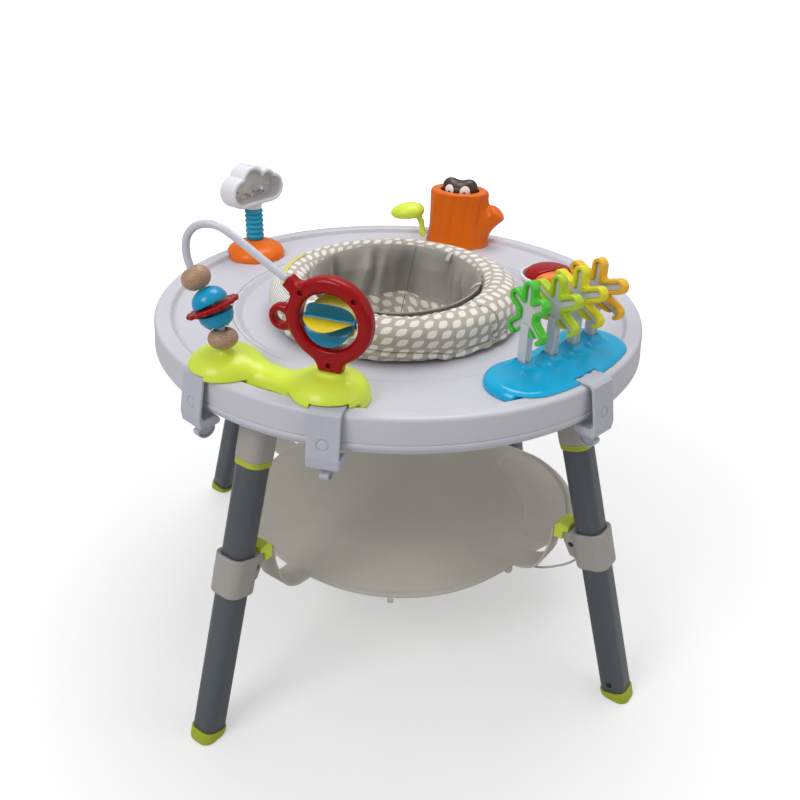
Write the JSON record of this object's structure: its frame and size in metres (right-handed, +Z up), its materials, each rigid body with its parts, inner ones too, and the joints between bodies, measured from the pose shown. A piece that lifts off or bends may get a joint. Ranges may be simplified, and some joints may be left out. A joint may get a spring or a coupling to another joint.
{
  "type": "activity jumper",
  "caption": "Round play tray on four splayed legs with a turning padded seat, a sprung foot platform underneath and clip-on toys round the rim.",
  "frame": {"origin": "on the floor under the centre of the tray", "axes": "+Z up, -Y towards the front (bead toy and tree toy side), +X to the right seen from the front"},
  "size_m": [0.7284, 0.7284, 0.7003],
  "materials": {
    "tray_plastic": "satin, fine moulded grain",
    "ring_plastic": "satin",
    "pad_fabric": "woven polyester printed with rows of pale leaves",
    "liner_fabric": "plain woven, light grey-beige",
    "leg_metal": "satin charcoal powder coat",
    "grey_plastic": "matt moulded",
    "lime_plastic": "satin moulded",
    "platform_plastic": "matt, fine grain",
    "clip_plastic": "satin moulded",
    "white_plastic": "gloss moulded",
    "wood": "plain beech, light varnish",
    "blue_plastic": "gloss moulded",
    "red_plastic": "gloss moulded",
    "vane_plastic": "gloss moulded, yellow and blue vanes",
    "orange_plastic": "satin moulded",
    "teal_rubber": "matt flexible",
    "brown_plastic": "matt moulded",
    "clear_plastic": "clear window",
    "green_plastic": "gloss moulded",
    "olive_plastic": "gloss moulded",
    "yellow_plastic": "gloss moulded",
    "amber_plastic": "gloss moulded",
    "axle_steel": "plain"
  },
  "bodies": {
    "frame": {"tray": "tray_plastic", "tray_lower_ring": "tray_plastic", "leg_socket_fl": "grey_plastic", "leg_tube_fl": "leg_metal", "leg_bracket_fl": "grey_plastic", "leg_foot_fl": "lime_plastic", "platform_hook_fl": "lime_plastic", "leg_socket_fr": "grey_plastic", "leg_tube_fr": "leg_metal", "leg_bracket_fr": "grey_plastic", "leg_foot_fr": "lime_plastic", "platform_hook_fr": "lime_plastic", "leg_socket_br": "grey_plastic", "leg_tube_br": "leg_metal", "leg_bracket_br": "grey_plastic", "leg_foot_br": "lime_plastic", "platform_hook_br": "lime_plastic", "leg_socket_bl": "grey_plastic", "leg_tube_bl": "leg_metal", "leg_bracket_bl": "grey_plastic", "leg_foot_bl": "lime_plastic", "platform_hook_bl": "lime_plastic", "bead_base": "lime_plastic", "bead_wire": "white_plastic", "spinner_frame": "red_plastic", "spinner_axle": "axle_steel", "tree_base": "blue_plastic", "cloud_base": "orange_plastic", "stump": "orange_plastic", "cup_housing": "white_plastic", "clip_bead_left": "clip_plastic", "clip_bead_right": "clip_plastic", "clip_tree": "clip_plastic", "clip_cloud": "clip_plastic", "clip_stump": "clip_plastic"},
    "seat": {"seat_ring": "ring_plastic", "seat_pad": "pad_fabric"},
    "seat_sling": {"seat_liner": "liner_fabric"},
    "platform": {"foot_platform": "platform_plastic"},
    "spinner": {"spinner_blades": "vane_plastic"},
    "lower_bead": {"bead_bottom": "wood"},
    "planet_low": {"planet_lower": "blue_plastic"},
    "planet_ring": {"planet_disc": "red_plastic"},
    "planet_high": {"planet_upper": "blue_plastic"},
    "upper_bead": {"bead_top": "wood"},
    "tree_a": {"tree_1": "green_plastic"},
    "tree_b": {"tree_2": "olive_plastic"},
    "tree_c": {"tree_3": "yellow_plastic"},
    "tree_d": {"tree_4": "amber_plastic"},
    "cloud": {"cloud_stem": "teal_rubber", "cloud_frame": "white_plastic", "cloud_lens": "clear_plastic"},
    "leaf": {"leaf_lever": "lime_plastic"},
    "animal": {"stump_animal": "brown_plastic"},
    "drum": {"cup_drum": "red_plastic"},
    "lever_bead_left": {"clip_lever_bead_left": "clip_plastic"},
    "lever_bead_right": {"clip_lever_bead_right": "clip_plastic"},
    "lever_tree": {"clip_lever_tree": "clip_plastic"},
    "lever_cloud": {"clip_lever_cloud": "clip_plastic"},
    "lever_stump": {"clip_lever_stump": "clip_plastic"}
  },
  "joints": [
    {"name": "seat_spin", "type": "hinge", "parent": "frame", "child": "seat", "pos_m": [0, 0, 0.498], "axis": [0, 0, 1], "continuous": true},
    {"name": "seat_bounce", "type": "slide", "parent": "seat", "child": "seat_sling", "axis": [0, 0, 1], "range_m": [-0.02, 0.008], "stiffness_N_per_m": 2500},
    {"name": "platform_bounce", "type": "slide", "parent": "frame", "child": "platform", "axis": [0, 0, 1], "range_m": [-0.012, 0.004], "stiffness_N_per_m": 4000},
    {"name": "spinner_spin", "type": "hinge", "parent": "frame", "child": "spinner", "pos_m": [-0.0735, -0.2855, 0.606], "axis": [0.9432, -0.3322, 0], "continuous": true},
    {"name": "lower_bead_spin", "type": "hinge", "parent": "frame", "child": "lower_bead", "pos_m": [-0.20437, -0.23984, 0.55899], "axis": [-0.0676, 0.0277, 0.9973], "continuous": true},
    {"name": "planet_low_spin", "type": "hinge", "parent": "frame", "child": "planet_low", "pos_m": [-0.2092, -0.23813, 0.58266], "axis": [-0.295, 0.1031, 0.9499], "continuous": true},
    {"name": "planet_ring_spin", "type": "hinge", "parent": "frame", "child": "planet_ring", "pos_m": [-0.21434, -0.23633, 0.59646], "axis": [-0.388, 0.1368, 0.9115], "continuous": true},
    {"name": "planet_high_spin", "type": "hinge", "parent": "frame", "child": "planet_high", "pos_m": [-0.21992, -0.23434, 0.60806], "axis": [-0.4589, 0.1642, 0.8732], "continuous": true},
    {"name": "upper_bead_spin", "type": "hinge", "parent": "frame", "child": "upper_bead", "pos_m": [-0.23173, -0.23015, 0.62942], "axis": [-0.455, 0.1561, 0.8767], "continuous": true},
    {"name": "tree_a_rock", "type": "hinge", "parent": "frame", "child": "tree_a", "pos_m": [0.154, -0.22, 0.533], "axis": [0.5592, -0.829, 0], "range_deg": [-8, 8], "stiffness_Nm_per_rad": 0.4},
    {"name": "tree_b_rock", "type": "hinge", "parent": "frame", "child": "tree_b", "pos_m": [0.19, -0.196, 0.533], "axis": [0.5592, -0.829, 0], "range_deg": [-8, 8], "stiffness_Nm_per_rad": 0.4},
    {"name": "tree_c_rock", "type": "hinge", "parent": "frame", "child": "tree_c", "pos_m": [0.222, -0.164, 0.533], "axis": [0.5592, -0.829, 0], "range_deg": [-8, 8], "stiffness_Nm_per_rad": 0.4},
    {"name": "tree_d_rock", "type": "hinge", "parent": "frame", "child": "tree_d", "pos_m": [0.25, -0.134, 0.533], "axis": [0.5592, -0.829, 0], "range_deg": [-8, 8], "stiffness_Nm_per_rad": 0.4},
    {"name": "cloud_sway", "type": "hinge", "parent": "frame", "child": "cloud", "pos_m": [-0.238, 0.192, 0.535], "axis": [0.7986, -0.6018, 0], "range_deg": [-12, 12], "stiffness_Nm_per_rad": 0.5},
    {"name": "leaf_press", "type": "hinge", "parent": "frame", "child": "leaf", "pos_m": [0.0355, 0.27, 0.527], "axis": [0, 1, 0], "range_deg": [-19, 5], "stiffness_Nm_per_rad": 0.3},
    {"name": "animal_pop", "type": "slide", "parent": "frame", "child": "animal", "axis": [0, 0, 1], "range_m": [-0.004, 0.016]},
    {"name": "drum_spin", "type": "hinge", "parent": "frame", "child": "drum", "pos_m": [0.227, 0.0735, 0.53], "axis": [0, 0, 1], "continuous": true},
    {"name": "lever_bead_left_turn", "type": "hinge", "parent": "frame", "child": "lever_bead_left", "pos_m": [-0.23498, -0.24849, 0.4434], "axis": [0.7266, -0.6871, 0], "range_deg": [-30, 0]},
    {"name": "lever_bead_right_turn", "type": "hinge", "parent": "frame", "child": "lever_bead_right", "pos_m": [-0.07577, -0.3335, 0.4434], "axis": [0.9751, -0.2215, 0], "range_deg": [-30, 0]},
    {"name": "lever_tree_turn", "type": "hinge", "parent": "frame", "child": "lever_tree", "pos_m": [0.24098, -0.24267, 0.4434], "axis": [0.7096, 0.7046, 0], "range_deg": [-30, 0]},
    {"name": "lever_cloud_turn", "type": "hinge", "parent": "frame", "child": "lever_cloud", "pos_m": [-0.26578, 0.21523, 0.4434], "axis": [-0.6293, -0.7771, 0], "range_deg": [-30, 0]},
    {"name": "lever_stump_turn", "type": "hinge", "parent": "frame", "child": "lever_stump", "pos_m": [0.11416, 0.32238, 0.4434], "axis": [-0.9426, 0.3338, 0], "range_deg": [-30, 0]}
  ],
  "couplings": [
    {"joint": "leaf_press", "follows": "animal_pop", "rad_per_m": -20}
  ]
}
